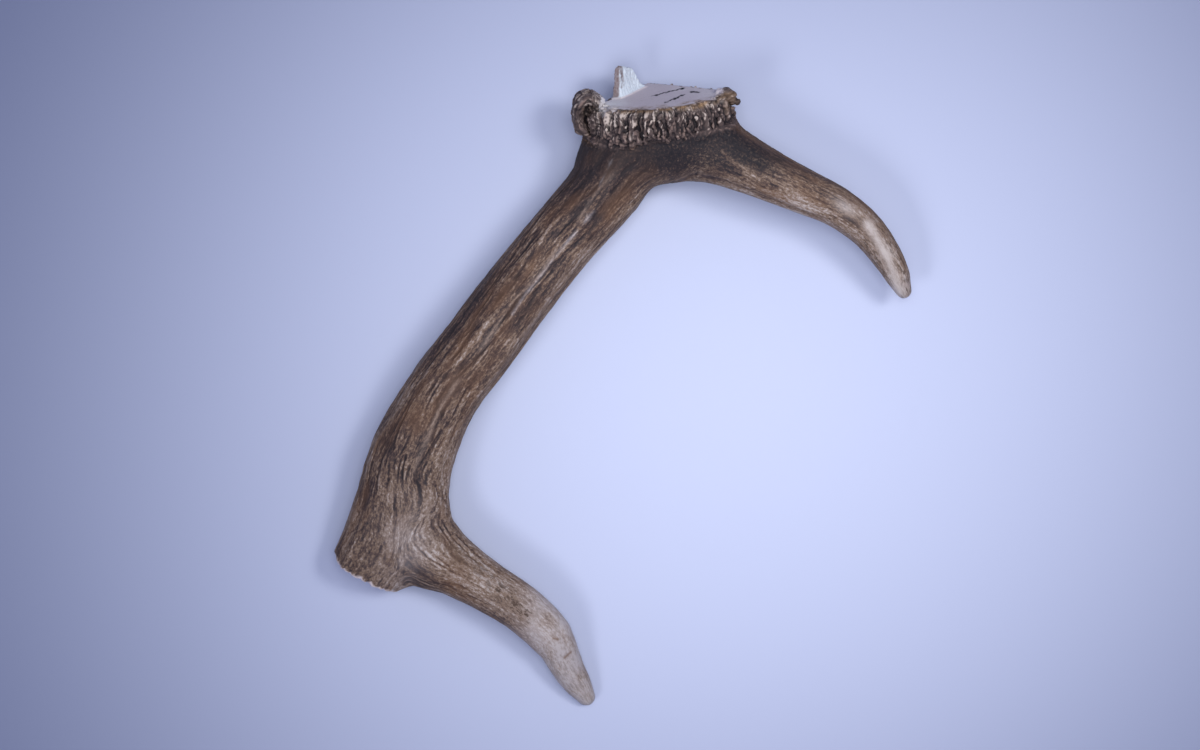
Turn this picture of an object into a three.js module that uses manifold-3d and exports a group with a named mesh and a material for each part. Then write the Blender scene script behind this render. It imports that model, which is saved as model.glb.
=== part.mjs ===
// A weathered stag's antler, sawn from the skull just below its burr and sawn off again past the second tine.
// It lies on its side. +Z is up, +Y runs from the sawn end of the beam towards the burr, and +X is the side
// that both tines point to. The origin lies on the resting surface, under the middle of the antler's box.
// It grew as one bone, and is parted here at its two forks: the beam with the burr, and the two tines.
// Lengths are in millimetres.
import * as THREE from "three";
import { ImprovedNoise } from "three/addons/math/ImprovedNoise.js";
import { mergeVertices } from "three/addons/utils/BufferGeometryUtils.js";
import Module from "manifold-3d";

const wasm = await Module();
wasm.setup();
const noise = new ImprovedNoise();
const degrees = Math.PI / 180;

// ---- driving dimensions ------------------------------------------------------------------------------------

// Each limb is a row of stations along its axis: x, y, z, half its width, and half its depth.
const beamStations = [
  [17.7, 127.7, 29.5, 27.5, 22.5],
  [18.3, 121.7, 27.2, 27.5, 22.5],
  [14.5, 112.8, 24.5, 25.5, 20.5],
  [6.5, 106.5, 23.6, 22.5, 18.5],
  [-0.5, 100.0, 23.3, 19.8, 17.0],
  [-7.7, 87.0, 23.0, 16.2, 16.0],
  [-26.5, 64.9, 24.5, 15.2, 15.0],
  [-44.5, 42.4, 26.0, 15.2, 14.8],
  [-62.0, 19.4, 25.5, 15.8, 14.8],
  [-78.8, -2.7, 22.5, 16.6, 14.8],
  [-91.9, -28.6, 19.0, 17.8, 14.5],
  [-98.6, -49.5, 17.0, 17.3, 13.8],
  [-106.2, -67.3, 15.2, 16.6, 13.0],
  [-114.2, -82.2, 12.3, 15.5, 12.5],
];
const browStations = [
  [22.1, 116.6, 28.0, 16.0, 16.0],
  [35.0, 106.8, 28.5, 13.8, 14.0],
  [48.8, 100.3, 29.0, 12.6, 12.2],
  [63.6, 93.2, 29.5, 10.8, 10.8],
  [78.9, 86.1, 29.0, 9.7, 9.8],
  [94.2, 79.2, 27.0, 8.8, 9.0],
  [107.8, 69.2, 24.0, 7.8, 8.0],
  [118.1, 55.8, 20.0, 6.4, 6.5],
  [122.3, 48.1, 18.0, 5.2, 5.2],
  [124.5, 42.9, 16.5, 3.5, 4.0],
];
const tineStations = [
  [-93.6, -36.3, 17.0, 12.5, 12.0],
  [-91.5, -60.0, 16.0, 15.5, 12.5],
  [-83.1, -72.6, 16.0, 15.6, 12.3],
  [-72.5, -79.5, 16.0, 12.8, 11.5],
  [-58.6, -88.1, 16.5, 10.9, 10.5],
  [-43.9, -97.5, 15.5, 10.4, 10.0],
  [-31.7, -109.2, 13.0, 9.8, 9.0],
  [-27.3, -116.5, 10.6, 8.1, 8.0],
  [-23.8, -124.4, 8.4, 7.2, 7.0],
  [-18.9, -132.2, 5.7, 5.9, 5.5],
  [-15.6, -137.4, 4.1, 4.0, 4.3],
];
// The wide root under the burr, from which the beam and the brow tine both leave.
const rootStations = [
  [18.4, 120.6, 27.0, 23.5, 19.5],
  [19.1, 115.0, 26.0, 22.0, 18.0],
  [20.0, 109.5, 25.0, 19.0, 16.5],
];

const webSoftness = 3.5; // how softly limbs flow into each other at a fork
const webReach = 7; // a web stands no farther than this from the limb that it belongs to
const partingGap = 0.3; // between the beam and each tine
const browPartsAt = 0.27; // share of the tine's axis, counted in stations, where it leaves the beam
const tinePartsAt = 0.3;

const beamSides = 50;
const beamRings = 36;
const tineSides = 26;
const tineRings = 22;

const ridgeHeight = 1.5; // crest to groove, along the beam
const ridgesRound = 3.4; // noise cells per radian round a limb: about 21 ridges in all
const ridgeLength = 55;
const smoothTip = 45; // the ridges fade out over this length, towards a tine's tip

const burrReach = 4.4; // how far the burr stands out from the bone, on average
const burrLean = 1.3; // it stands out this much farther on its outer side than on average
const burrHeight = 12;
const sawnRim = 0.8; // the rim of bone between the burr and the sawn face
const pearls = 56;
const pearlDepth = 2.2;

const flatAngle = -54 * degrees; // the worn side of the burr
const flatOut = 15;
const flatFlare = 0.65;
const splinterHeight = 10.3;

const bone = new THREE.MeshStandardMaterial({ color: 0x6f5845, roughness: 0.7, metalness: 0 });
const browBone = new THREE.MeshStandardMaterial({ color: 0x85705c, roughness: 0.65, metalness: 0 });
const tineBone = new THREE.MeshStandardMaterial({ color: 0x9c8b7b, roughness: 0.6, metalness: 0 });

// ---- limbs -------------------------------------------------------------------------------------------------

const up = new THREE.Vector3(0, 0, 1);

// A limb's axis with its size and section frame at any share t of its stations: along is the way that it
// grows, across lies level, and over points up.
class Limb {
  constructor(stations, samples = 160) {
    this.axis = new THREE.CatmullRomCurve3(stations.map(([x, y, z]) => new THREE.Vector3(x, y, z)));
    this.halves = new THREE.CatmullRomCurve3(stations.map((s) => new THREE.Vector3(s[3], s[4], 0)));
    this.table = [];
    let length = 0;
    for (let i = 0; i <= samples; i++) {
      const section = this.section(i / samples);
      if (i > 0) length += section.centre.distanceTo(this.table[i - 1].centre);
      this.table.push({ ...section, length });
    }
    this.length = length;
  }

  section(t) {
    const centre = this.axis.getPoint(t);
    const along = this.axis.getTangent(t);
    const across = new THREE.Vector3().crossVectors(up, along).normalize();
    const over = new THREE.Vector3().crossVectors(along, across);
    const half = this.halves.getPoint(t);
    return { centre, along, across, over, wide: half.x, deep: half.y };
  }

  // The section at a distance along the axis, counted from its first station.
  at(distance) {
    const next = this.table.findIndex((s) => s.length >= distance);
    const i = next < 0 ? this.table.length - 1 : Math.max(next, 1);
    const a = this.table[i - 1];
    const b = this.table[i];
    const share = (distance - a.length) / (b.length - a.length);
    return this.section((i - 1 + Math.min(share, 1)) / (this.table.length - 1));
  }

  // About how far a point lies outside the limb's skin, and below 0 inside it. Past either end the limb is round.
  outside(point) {
    let best = 0;
    let least = Infinity;
    this.table.forEach((s, i) => {
      const d = s.centre.distanceToSquared(point);
      if (d < least) {
        least = d;
        best = i;
      }
    });
    const s = this.table[best];
    const from = point.clone().sub(s.centre);
    const last = this.table.length - 1;
    const past = (best === 0 && from.dot(s.along) < 0) || (best === last && from.dot(s.along) > 0);
    const ahead = past ? from.dot(s.along) / Math.min(s.wide, s.deep) : 0;
    const size = Math.hypot(from.dot(s.across) / s.wide, from.dot(s.over) / s.deep, ahead);
    return (size - 1) * Math.sqrt(s.wide * s.deep);
  }
}

const beam = new Limb(beamStations);
const brow = new Limb(browStations);
const tine = new Limb(tineStations);
const root = new Limb(rootStations);
const limbs = [beam, brow, tine, root];
const sawnBase = beam.section(0); // the white face where the antler was sawn from the skull

// How far a point lies ahead of a section's plane, the way that the limb grows.
const ahead = (section, point) => point.clone().sub(section.centre).dot(section.along);

// Straight out from a section's centre, at an angle counted from its level side.
function radial(section, angle) {
  return new THREE.Vector3()
    .addScaledVector(section.across, Math.cos(angle))
    .addScaledVector(section.over, Math.sin(angle));
}

// The burr and the bone within it are worn flat on one side: how far out that flat lies, at a depth below the
// sawn face.
const flatReach = (depth) => flatOut + flatFlare * depth;

function outsideFlat(point) {
  const out = point.clone().sub(sawnBase.centre).dot(radial(sawnBase, flatAngle));
  return out - flatReach(ahead(sawnBase, point));
}

// The whole antler's skin is where this is 0: all limbs run together, with webs at the forks.
function outsideAntler(point) {
  const sum = limbs.reduce((total, limb) => total + Math.exp(-limb.outside(point) / webSoftness), 0);
  const grown = -webSoftness * Math.log(sum);
  return Math.max(grown, outsideFlat(point), -ahead(sawnBase, point) - 0.01);
}

// How far it is from a point inside a limb to the skin, or to where the part that is being made ends.
function reachToSkin(start, direction, belongs) {
  const step = 1;
  const farthest = 75;
  const inside = (t) => {
    const p = start.clone().addScaledVector(direction, t);
    return belongs(p) && outsideAntler(p) < 0;
  };
  let far = step;
  while (far < farthest && inside(far)) far += step;
  let near = far - step;
  for (let halving = 0; halving < 8; halving++) {
    const middle = (near + far) / 2;
    if (inside(middle)) near = middle;
    else far = middle;
  }
  return near;
}

// Ridges run along a limb, and each lasts for a hand's breadth or less before another takes over.
function ridge(angle, distance, seed) {
  const x = Math.cos(angle) * ridgesRound;
  const y = Math.sin(angle) * ridgesRound;
  return noise.noise(x + seed, y + seed, distance / ridgeLength + seed);
}

// ---- shells ------------------------------------------------------------------------------------------------

// A closed shell from rings of points with equal counts, and one point to close each end.
function shellOf(rings, first, last) {
  const sides = rings[0].length;
  const points = [first, ...rings.flat(), last];
  const index = [];
  const at = (ring, side) => 1 + ring * sides + (side % sides);
  for (let side = 0; side < sides; side++) {
    index.push(0, at(0, side + 1), at(0, side));
    for (let ring = 0; ring + 1 < rings.length; ring++) {
      index.push(at(ring, side), at(ring, side + 1), at(ring + 1, side));
      index.push(at(ring, side + 1), at(ring + 1, side + 1), at(ring + 1, side));
    }
    index.push(points.length - 1, at(rings.length - 1, side), at(rings.length - 1, side + 1));
  }
  return new THREE.BufferGeometry().setFromPoints(points).setIndex(index);
}

// One ring of the skin about a section. Leaning it forwards makes the rounds of a tip.
function skinRing(section, sides, belongs, relief, lean = 0) {
  return Array.from({ length: sides }, (_, side) => {
    const angle = (side / sides) * 2 * Math.PI;
    const direction = radial(section, angle)
      .multiplyScalar(Math.cos(lean))
      .addScaledVector(section.along, Math.sin(lean));
    const skin = section.centre.clone().addScaledVector(direction, reachToSkin(section.centre, direction, belongs));
    return skin.addScaledVector(direction, relief(angle, skin));
  });
}

function solidOf(geometry) {
  const bare = geometry.clone();
  bare.deleteAttribute("normal");
  bare.deleteAttribute("uv");
  const merged = mergeVertices(bare, 1e-4);
  return new wasm.Manifold(
    new wasm.Mesh({
      numProp: 3,
      vertProperties: merged.getAttribute("position").array,
      triVerts: new Uint32Array(merged.index.array),
    }),
  );
}

// The triangles of the largest connected body, without the crumbs that joins of rough shells leave.
function largestBody(triangles, pointCount) {
  const leader = Array.from({ length: pointCount }, (_, i) => i);
  const leaderOf = (i) => {
    let top = i;
    while (leader[top] !== top) top = leader[top];
    leader[i] = top;
    return top;
  };
  for (let i = 0; i < triangles.length; i += 3) {
    leader[leaderOf(triangles[i + 1])] = leaderOf(triangles[i]);
    leader[leaderOf(triangles[i + 2])] = leaderOf(triangles[i]);
  }
  const sizes = new Map();
  for (const point of triangles) sizes.set(leaderOf(point), (sizes.get(leaderOf(point)) ?? 0) + 1);
  const [largest] = [...sizes].reduce((a, b) => (b[1] > a[1] ? b : a));
  return triangles.filter((point) => leaderOf(point) === largest);
}

function meshOf(solid, name, material) {
  const { vertProperties, triVerts } = solid.getMesh();
  const geometry = new THREE.BufferGeometry();
  geometry.setAttribute("position", new THREE.BufferAttribute(vertProperties, 3));
  geometry.setIndex(new THREE.BufferAttribute(largestBody(triVerts, vertProperties.length / 3), 1));
  geometry.computeVertexNormals();
  const mesh = new THREE.Mesh(geometry, material);
  mesh.name = name;
  return mesh;
}

// All that lies past a section's plane, on the side that its limb grows to, less a setback.
function pastSection(section, setback) {
  const size = 300;
  const box = new THREE.BoxGeometry(size, size, size);
  const turn = new THREE.Quaternion().setFromUnitVectors(up, section.along);
  const middle = section.centre.clone().addScaledVector(section.along, size / 2 + setback);
  box.applyMatrix4(new THREE.Matrix4().compose(middle, turn, new THREE.Vector3(1, 1, 1)));
  return solidOf(box);
}

// ---- the tines ---------------------------------------------------------------------------------------------

const browParting = brow.section(browPartsAt);
const tineParting = tine.section(tinePartsAt);
function tineShell(limb, seed) {
  const belongs = (point) => limb.outside(point) < webReach;
  const relief = (distance) => (angle, skin) => {
    const toTip = THREE.MathUtils.clamp((limb.length - distance) / smoothTip - 0.2, 0, 1);
    const clearOfBeam = THREE.MathUtils.smoothstep(beam.outside(skin), 1, 6);
    return 0.6 * ridgeHeight * toTip * ridge(angle, distance, seed) - (1 - clearOfBeam);
  };
  const rings = Array.from({ length: tineRings }, (_, i) => {
    const distance = (limb.length * i) / (tineRings - 1);
    return skinRing(limb.at(distance), tineSides, belongs, relief(distance));
  });
  const end = limb.at(limb.length);
  for (const lean of [30, 60]) rings.push(skinRing(end, tineSides, belongs, () => 0, lean * degrees));
  const tip = end.centre.clone().addScaledVector(end.along, reachToSkin(end.centre, end.along, belongs));
  return solidOf(shellOf(rings, limb.at(0).centre, tip));
}

const browShell = tineShell(brow, 2.9);
const secondShell = tineShell(tine, 5.1);

// ---- the burr ----------------------------------------------------------------------------------------------

const burrCentre = sawnBase.centre.clone().addScaledVector(sawnBase.along, burrHeight / 2 + sawnRim);

// A place on the burr: an angle round it, a distance out from its middle, and a height towards the skull.
function burrPoint(angle, out, height) {
  return burrCentre
    .clone()
    .addScaledVector(radial(sawnBase, angle), out)
    .addScaledVector(sawnBase.along, -height);
}

// How far out the bone reaches inside the burr, at an angle and a height.
function skinOfBurr(angle, height) {
  const { wide, deep } = sawnBase;
  const oval = 1 / Math.hypot(Math.cos(angle) / wide, Math.sin(angle) / deep);
  const facing = Math.max(Math.cos(angle - flatAngle), 0.01);
  return Math.min(oval, flatReach(burrHeight / 2 + sawnRim - height) / facing);
}

// The burr is a rough ring. Its outer side is a row of upright pearls of uneven size.
function burrRing() {
  const roundSteps = 6;
  const buried = 8;
  const rings = [];
  for (let i = 0; i < 2 * pearls; i++) {
    const angle = (i / (2 * pearls)) * 2 * Math.PI;
    const x = Math.cos(angle);
    const y = Math.sin(angle);
    const rough = noise.noise(x * 9, y * 9, 0.5);
    const crest = (i % 2 === 0 ? 0.5 : -0.5) * pearlDepth * (1 + rough) + 1.6 * noise.noise(x * 3, y * 3, 8.8);
    const sway = 2.5 * noise.noise(x * 1.5, y * 1.5, 7.3) + 1.2 * rough;
    const tall = (burrHeight / 2) * (1 + 0.2 * noise.noise(x * 4, y * 4, 3.1));
    const inner = skinOfBurr(angle, 0) - buried;
    const section = [burrPoint(angle, inner, -tall * 0.8), burrPoint(angle, inner, tall * 0.8)];
    for (let j = 0; j < roundSteps; j++) {
      const round = (0.5 - j / (roundSteps - 1)) * Math.PI;
      const height = sway * Math.cos(round) + tall * Math.sin(round);
      const reach = burrReach - burrLean * x + crest;
      section.push(burrPoint(angle, skinOfBurr(angle, height) - 1 + (reach + 1) * Math.cos(round) ** 0.6, height));
    }
    rings.push(section);
  }
  return solidOf(ringOf(rings));
}

// A closed ring from sections with equal counts of points, the last section joined to the first.
function ringOf(sections) {
  const count = sections[0].length;
  const index = [];
  const at = (section, point) => (section % sections.length) * count + (point % count);
  for (let i = 0; i < sections.length; i++) {
    for (let j = 0; j < count; j++) {
      index.push(at(i, j), at(i + 1, j), at(i, j + 1));
      index.push(at(i + 1, j), at(i + 1, j + 1), at(i, j + 1));
    }
  }
  return new THREE.BufferGeometry().setFromPoints(sections.flat()).setIndex(index);
}

// A rounded lump of the burr, with its sizes out from the burr, round it and along the beam.
function lump(angle, out, height, [deep, long, tall], sides = 12) {
  const ball = new THREE.SphereGeometry(1, sides, Math.round(sides * 0.7));
  const outward = radial(sawnBase, angle);
  const skullward = sawnBase.along.clone().negate();
  const round = new THREE.Vector3().crossVectors(skullward, outward);
  const place = new THREE.Matrix4()
    .makeBasis(outward, round, skullward)
    .setPosition(burrPoint(angle, out, height));
  ball.scale(deep, long, tall);
  return solidOf(ball.applyMatrix4(place));
}

// The sliver of bone that snapped instead of being sawn, standing on the rim of the sawn base. Each row is an
// angle round the rim and a share of the sliver's height.
const splinterRows = [
  [208, 0.02],
  [211, 0.3],
  [213, 0.8],
  [216, 1.0],
  [220, 1.03],
  [226, 0.97],
  [232, 0.75],
  [238, 0.42],
  [244, 0.15],
  [249, 0.02],
];

function splinter() {
  const sunk = 3;
  const rimInset = 0.6;
  const footDepth = 8;
  const crestDepth = 1.4;
  const sections = splinterRows.map(([angle, share]) => {
    const outward = radial(sawnBase, angle * degrees);
    const rim = skinOfBurr(angle * degrees, burrHeight / 2 + sawnRim);
    const height = splinterHeight * share;
    const point = (inward, rise) =>
      sawnBase.centre
        .clone()
        .addScaledVector(outward, rim - rimInset - inward)
        .addScaledVector(sawnBase.along, -rise);
    const foot = crestDepth + (footDepth - crestDepth) * Math.sqrt(share);
    const waist = crestDepth + (foot - crestDepth) * 0.3;
    return [
      point(0, -sunk),
      point(0, height),
      point(crestDepth, height),
      point(waist, height * 0.45),
      point(foot, 0),
      point(foot, -sunk),
    ];
  });
  const middle = (points) =>
    points.reduce((sum, p) => sum.add(p), new THREE.Vector3()).divideScalar(points.length);
  const first = middle(sections[0]);
  const last = middle(sections[sections.length - 1]);
  return solidOf(shellOf(sections, first, last));
}

// ---- the beam ----------------------------------------------------------------------------------------------

function beamShell() {
  const belongs = (point) => beam.outside(point) < webReach;
  const relief = (distance) => (angle) => {
    const clearOfBurr = THREE.MathUtils.smoothstep(distance, 14, 40);
    return ridgeHeight * (0.25 + 0.75 * clearOfBurr) * ridge(angle, distance, 0.37);
  };
  const rings = Array.from({ length: beamRings }, (_, i) => {
    const distance = (beam.length * i) / (beamRings - 1);
    return skinRing(beam.at(distance), beamSides, belongs, relief(distance));
  });
  return solidOf(shellOf(rings, sawnBase.centre, beam.at(beam.length).centre));
}

const burrLumps = [
  lump(180 * degrees, 34.5, 2.5, [5.5, 8, 9.8]), // the big folded lobe on the outer side
  lump(16 * degrees, 28.5, 5.5, [3.6, 4.5, 3.5]), // a knob over the brow tine
  lump(14 * degrees, 32.2, 3.2, [1.7, 1.4, 1.4], 6), // and the bead on it
];

const beamSolid = [burrRing(), splinter(), browShell, secondShell, ...burrLumps]
  .reduce((whole, piece) => whole.add(piece), beamShell())
  .subtract(pastSection(browParting, -partingGap / 2))
  .subtract(pastSection(tineParting, -partingGap / 2));
const browSolid = browShell.intersect(pastSection(browParting, partingGap / 2));
const secondSolid = secondShell.intersect(pastSection(tineParting, partingGap / 2));

// ---- the antler --------------------------------------------------------------------------------------------

const antler = new THREE.Group();
antler.name = "antler";
antler.add(meshOf(beamSolid, "beam", bone));
antler.add(meshOf(browSolid, "brow_tine", browBone));
antler.add(meshOf(secondSolid, "second_tine", tineBone));

// It stands on its lowest points, with its box's middle over the origin.
const box = new THREE.Box3().setFromObject(antler);
const middleOfBox = box.getCenter(new THREE.Vector3());
antler.position.set(-middleOfBox.x, -middleOfBox.y, -box.min.z);

export default antler;
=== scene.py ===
import itertools
import math

import bmesh
import bpy
import numpy as np
from mathutils import Matrix, Vector


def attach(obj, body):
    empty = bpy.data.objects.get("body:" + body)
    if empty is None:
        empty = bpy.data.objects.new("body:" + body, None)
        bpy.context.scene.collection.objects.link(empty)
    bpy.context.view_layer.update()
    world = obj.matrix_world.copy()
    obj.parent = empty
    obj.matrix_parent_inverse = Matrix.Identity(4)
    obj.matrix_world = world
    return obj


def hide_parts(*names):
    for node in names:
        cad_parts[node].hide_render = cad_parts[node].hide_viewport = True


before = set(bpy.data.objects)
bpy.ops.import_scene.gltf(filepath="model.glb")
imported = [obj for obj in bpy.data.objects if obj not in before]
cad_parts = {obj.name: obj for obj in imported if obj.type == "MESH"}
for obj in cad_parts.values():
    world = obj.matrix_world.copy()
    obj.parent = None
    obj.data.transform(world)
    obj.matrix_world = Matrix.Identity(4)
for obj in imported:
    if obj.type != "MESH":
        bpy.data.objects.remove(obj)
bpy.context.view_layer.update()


# ---- Camera, floor and light -----------------------------------------------------------------------------
# The antler lies on a pale blue sheet and is seen from straight above, from a long way off. Soft lamps stand
# overhead and to the right, with a weaker one to the lower left, and their pool fades out into a blue room.

MM = 0.001
scene = bpy.context.scene
scene.view_settings.view_transform = "Standard"

camera_height = 1.5
beam_height = 20 * MM  # the view is measured across at this height
view_width = 528 * MM
view_centre = (-9.4 * MM, 5.6 * MM)

camera_data = bpy.data.cameras.new("camera")
camera_data.sensor_width = 36
camera_data.lens = camera_data.sensor_width * (camera_height - beam_height) / view_width
camera = bpy.data.objects.new("camera", camera_data)
camera.location = (*view_centre, camera_height)
scene.collection.objects.link(camera)
scene.camera = camera

bpy.ops.object.select_all(action="DESELECT")
bpy.ops.mesh.primitive_plane_add(size=6)
floor = bpy.context.object
floor.name = "floor"
floor_paint = bpy.data.materials.new("floor")
floor_paint.use_nodes = True
floor_shader = floor_paint.node_tree.nodes["Principled BSDF"]
floor_shader.inputs["Base Color"].default_value = (0.46, 0.50, 0.655, 1)
floor_shader.inputs["Roughness"].default_value = 0.9
floor.data.materials.append(floor_paint)


def soft_light(name, place, aim, size, spread, power, colour):
    """A square lamp that lights a wide soft pool round its aim."""
    lamp = bpy.data.lights.new(name, "AREA")
    lamp.size = size
    lamp.spread = math.radians(spread)
    lamp.energy = power
    lamp.color = colour
    light = bpy.data.objects.new(name, lamp)
    light.location = place
    light.rotation_euler = (Vector(place) - Vector(aim)).to_track_quat("Z", "Y").to_euler()
    scene.collection.objects.link(light)


soft_light("key", (0.58, 0.14, 1.0), (0.05, 0.01, 0), 0.4, 27, 0.30, (1, 0.99, 0.97))
soft_light("overhead", (0.05, 0.03, 0.8), (0.05, 0.01, 0), 0.35, 47, 0.34, (0.95, 0.96, 1))
soft_light("fill", (-0.50, -0.50, 0.95), (0.05, 0, 0), 0.4, 30, 0.20, (0.97, 0.97, 1))
sky = bpy.data.worlds.new("room")
sky.use_nodes = True
sky.node_tree.nodes["Background"].inputs["Color"].default_value = (0.53, 0.60, 1, 1)
sky.node_tree.nodes["Background"].inputs["Strength"].default_value = 0.34
scene.world = sky


# ---- Bare bone -------------------------------------------------------------------------------------------
# The antler grew as one bone: a beam out of a wide neck under the burr, with a brow tine and a second tine.
# Its bare form is taken from the frame's three nodes, fused where they were parted and smoothed.

part_overlap = 0.25 * MM

# The sawn base: its middle, the way it faces, and the ways across it and over it.
sawn_centre = np.array([17.74, 127.68, 29.52]) * MM
skullward = np.array([-0.0933, 0.9297, 0.3564])
burr_across = np.cross(skullward, [0, 0, 1])
burr_across /= np.linalg.norm(burr_across)
burr_over = np.cross(burr_across, skullward)

end_centre = np.array([-114.16, -82.22, 12.32]) * MM
end_outward = np.array([-0.4663, -0.8683, -0.1691])
end_reach = 24 * MM


def points_of(piece):
    co = np.empty(len(piece.data.vertices) * 3)
    piece.data.vertices.foreach_get("co", co)
    return co.reshape(-1, 3)


def normals_of(piece):
    co = np.empty(len(piece.data.vertices) * 3)
    piece.data.vertices.foreach_get("normal", co)
    return co.reshape(-1, 3)


def move_points(piece, points):
    piece.data.vertices.foreach_set("co", points.ravel())
    piece.data.update()


def select_only(*pieces):
    bpy.ops.object.select_all(action="DESELECT")
    for piece in pieces:
        piece.select_set(True)
    bpy.context.view_layer.objects.active = pieces[0]


def apply_modifiers(piece):
    select_only(piece)
    for modifier in list(piece.modifiers):
        bpy.ops.object.modifier_apply(modifier=modifier.name)


def fuse(pieces, voxel):
    """Joins pieces that overlap and gives them one even skin."""
    select_only(*pieces)
    bpy.ops.object.join()
    pieces[0].data.remesh_voxel_size = voxel
    pieces[0].data.remesh_voxel_adaptivity = 0
    bpy.ops.object.voxel_remesh()
    return pieces[0]


def smooth_where(piece, weights, times):
    """Relaxes the skin, each point by its own weight."""
    group = piece.vertex_groups.new(name="soft")
    for step in range(11):
        members = np.flatnonzero(np.round(weights * 10) == step)
        group.add(members.tolist(), step / 10, "REPLACE")
    relax = piece.modifiers.new("relax", "SMOOTH")
    relax.factor = 0.5
    relax.iterations = times
    relax.vertex_group = group.name
    apply_modifiers(piece)
    piece.vertex_groups.clear()


def ramp(values, low, high):
    """0 below low, 1 above high, and an eased slope between them."""
    t = np.clip((values - low) / (high - low), 0, 1)
    return t * t * (3 - 2 * t)


def burr_places(points):
    """Each point's angle round the burr, distance out from its middle and depth below the sawn base."""
    offset = points - sawn_centre
    across = offset @ burr_across
    over = offset @ burr_over
    return np.arctan2(over, across), np.hypot(across, over), -offset @ skullward


def end_places(points):
    """Each point's distance from the sawn end's plane, which only counts near that end."""
    inward = (end_centre - points) @ end_outward
    near = np.linalg.norm(points - end_centre, axis=1) < end_reach
    return np.where(near, inward, 1.0)


blocks = []
for node in ("beam", "brow_tine", "second_tine"):
    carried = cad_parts[node]
    block = carried.copy()
    block.data = carried.data.copy()
    block.name = node + " block"
    scene.collection.objects.link(block)
    select_only(block)
    bpy.ops.object.mode_set(mode="EDIT")
    bpy.ops.mesh.select_all(action="SELECT")
    bpy.ops.mesh.remove_doubles(threshold=0.001 * MM)
    bpy.ops.transform.shrink_fatten(value=part_overlap)
    bpy.ops.object.mode_set(mode="OBJECT")
    blocks.append(block)

bone = fuse(blocks, 0.7 * MM)
bone.name = "bone"

skin = points_of(bone)
_, _, depth = burr_places(skin)
smooth_where(bone, ramp(depth, 0.5 * MM, 3 * MM) * ramp(end_places(skin), 0.5 * MM, 2.5 * MM), 22)

# The web between the neck and the brow tine is one smooth hollow.
web_middle = np.array([21.5, 88, 21]) * MM
web_wear = 2.2 * MM
skin = points_of(bone)
from_web = np.linalg.norm(skin - web_middle, axis=1)
skin[:, 1] += web_wear * np.exp(-((from_web / (9 * MM)) ** 2))
move_points(bone, skin)
smooth_where(bone, 1 - ramp(from_web, 9 * MM, 18 * MM), 120)


# ---- Burr ------------------------------------------------------------------------------------------------
# The burr is a ring of upright ribs of uneven size with deep dark gaps, where the antler met the skull. On
# the outer side it curls over like an ear, and over the brow tine it ends in a knob with a bead.

rib_count = 74
rib_reach = 4.2 * MM
rib_lean = 1.2 * MM  # the ring stands further out on the ear's side
rib_middle = 6.9 * MM  # depth below the sawn base
rib_tall = 6.6 * MM
gap_floor = 1.9 * MM
burr_wide = 27.5 * MM
burr_deep = 22.5 * MM
sawn_deep = 17 * MM  # the upper side slopes out from the saw cut
slope_out = 0.55
flat_sides = ((math.radians(-54), 15 * MM), (math.radians(-139), 18.5 * MM))
flat_flare = 0.65
neck_starts = 11 * MM  # below this depth the bone spreads into the neck
neck_spread = 2.5
ring_top = 14 * MM  # above the sawn base
ring_bottom = 15 * MM  # below it
ring_reach = 48 * MM
foot_turn = -165  # where the foot of the splinter leaves a gap in the ring, in degrees
foot_gap = 11
pearl_count = 210
cut_top_count = 46
shoulder_pearl_count = 30
dice = np.random.default_rng(11)


def bone_radius(angle, depth):
    """How far the bone inside the burr reaches, at an angle and a depth."""
    slope = np.clip(sawn_deep + slope_out * depth, sawn_deep, burr_deep)
    deep = np.where(np.sin(angle) > 0, slope, burr_deep)
    radius = 1 / np.hypot(np.cos(angle) / burr_wide, np.sin(angle) / deep)
    for side, reach in flat_sides:
        facing = np.maximum(np.cos(angle - side), 0.01)
        radius = np.minimum(radius, (reach + flat_flare * depth) / facing)
    return radius


def neck_radius(angle, depth):
    """The same, with the neck's spread under the ring."""
    return bone_radius(angle, depth) + neck_spread * np.maximum(depth - neck_starts, 0)


def low_side(angle):
    """The burr reaches lower on the shoulder next to the ear."""
    return np.exp(-(((np.degrees(angle) - 143) / 22) ** 2))


# The ring is first turned down to the floor of its gaps, and the ear's block is turned away.
skin = points_of(bone)
angle, out, depth = burr_places(skin)
core = neck_radius(angle, depth) + gap_floor * ramp(depth, 0, 2 * MM)
loose = (depth > -ring_top) & (depth < ring_bottom) & (out > core) & (out < ring_reach)
outward = np.cos(angle)[:, None] * burr_across + np.sin(angle)[:, None] * burr_over
sunk = skullward * np.maximum(0.3 * MM - depth, 0)[:, None]
skin[loose] += (outward * (core - out)[:, None] - sunk)[loose]

# The old stump of the splinter is pressed flat as well.
stump = (depth < 0) & ~loose
skin[stump] += (skullward * depth[:, None])[stump]
move_points(bone, skin)


def rib_block():
    """A rib to copy: a ball drawn out to blunt ends, with a waist or two."""
    bpy.ops.object.select_all(action="DESELECT")
    bpy.ops.mesh.primitive_ico_sphere_add(subdivisions=3, radius=1)
    block = bpy.context.object
    block.name = "rib"
    shape = points_of(block)
    height = shape[:, 2:]
    shape[:, :2] *= np.sqrt(1 + height**2) * (1 + 0.12 * height) * (1 + 0.12 * np.sin(6 * height))
    move_points(block, shape)
    return block


rib = rib_block()
grown = []


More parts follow.
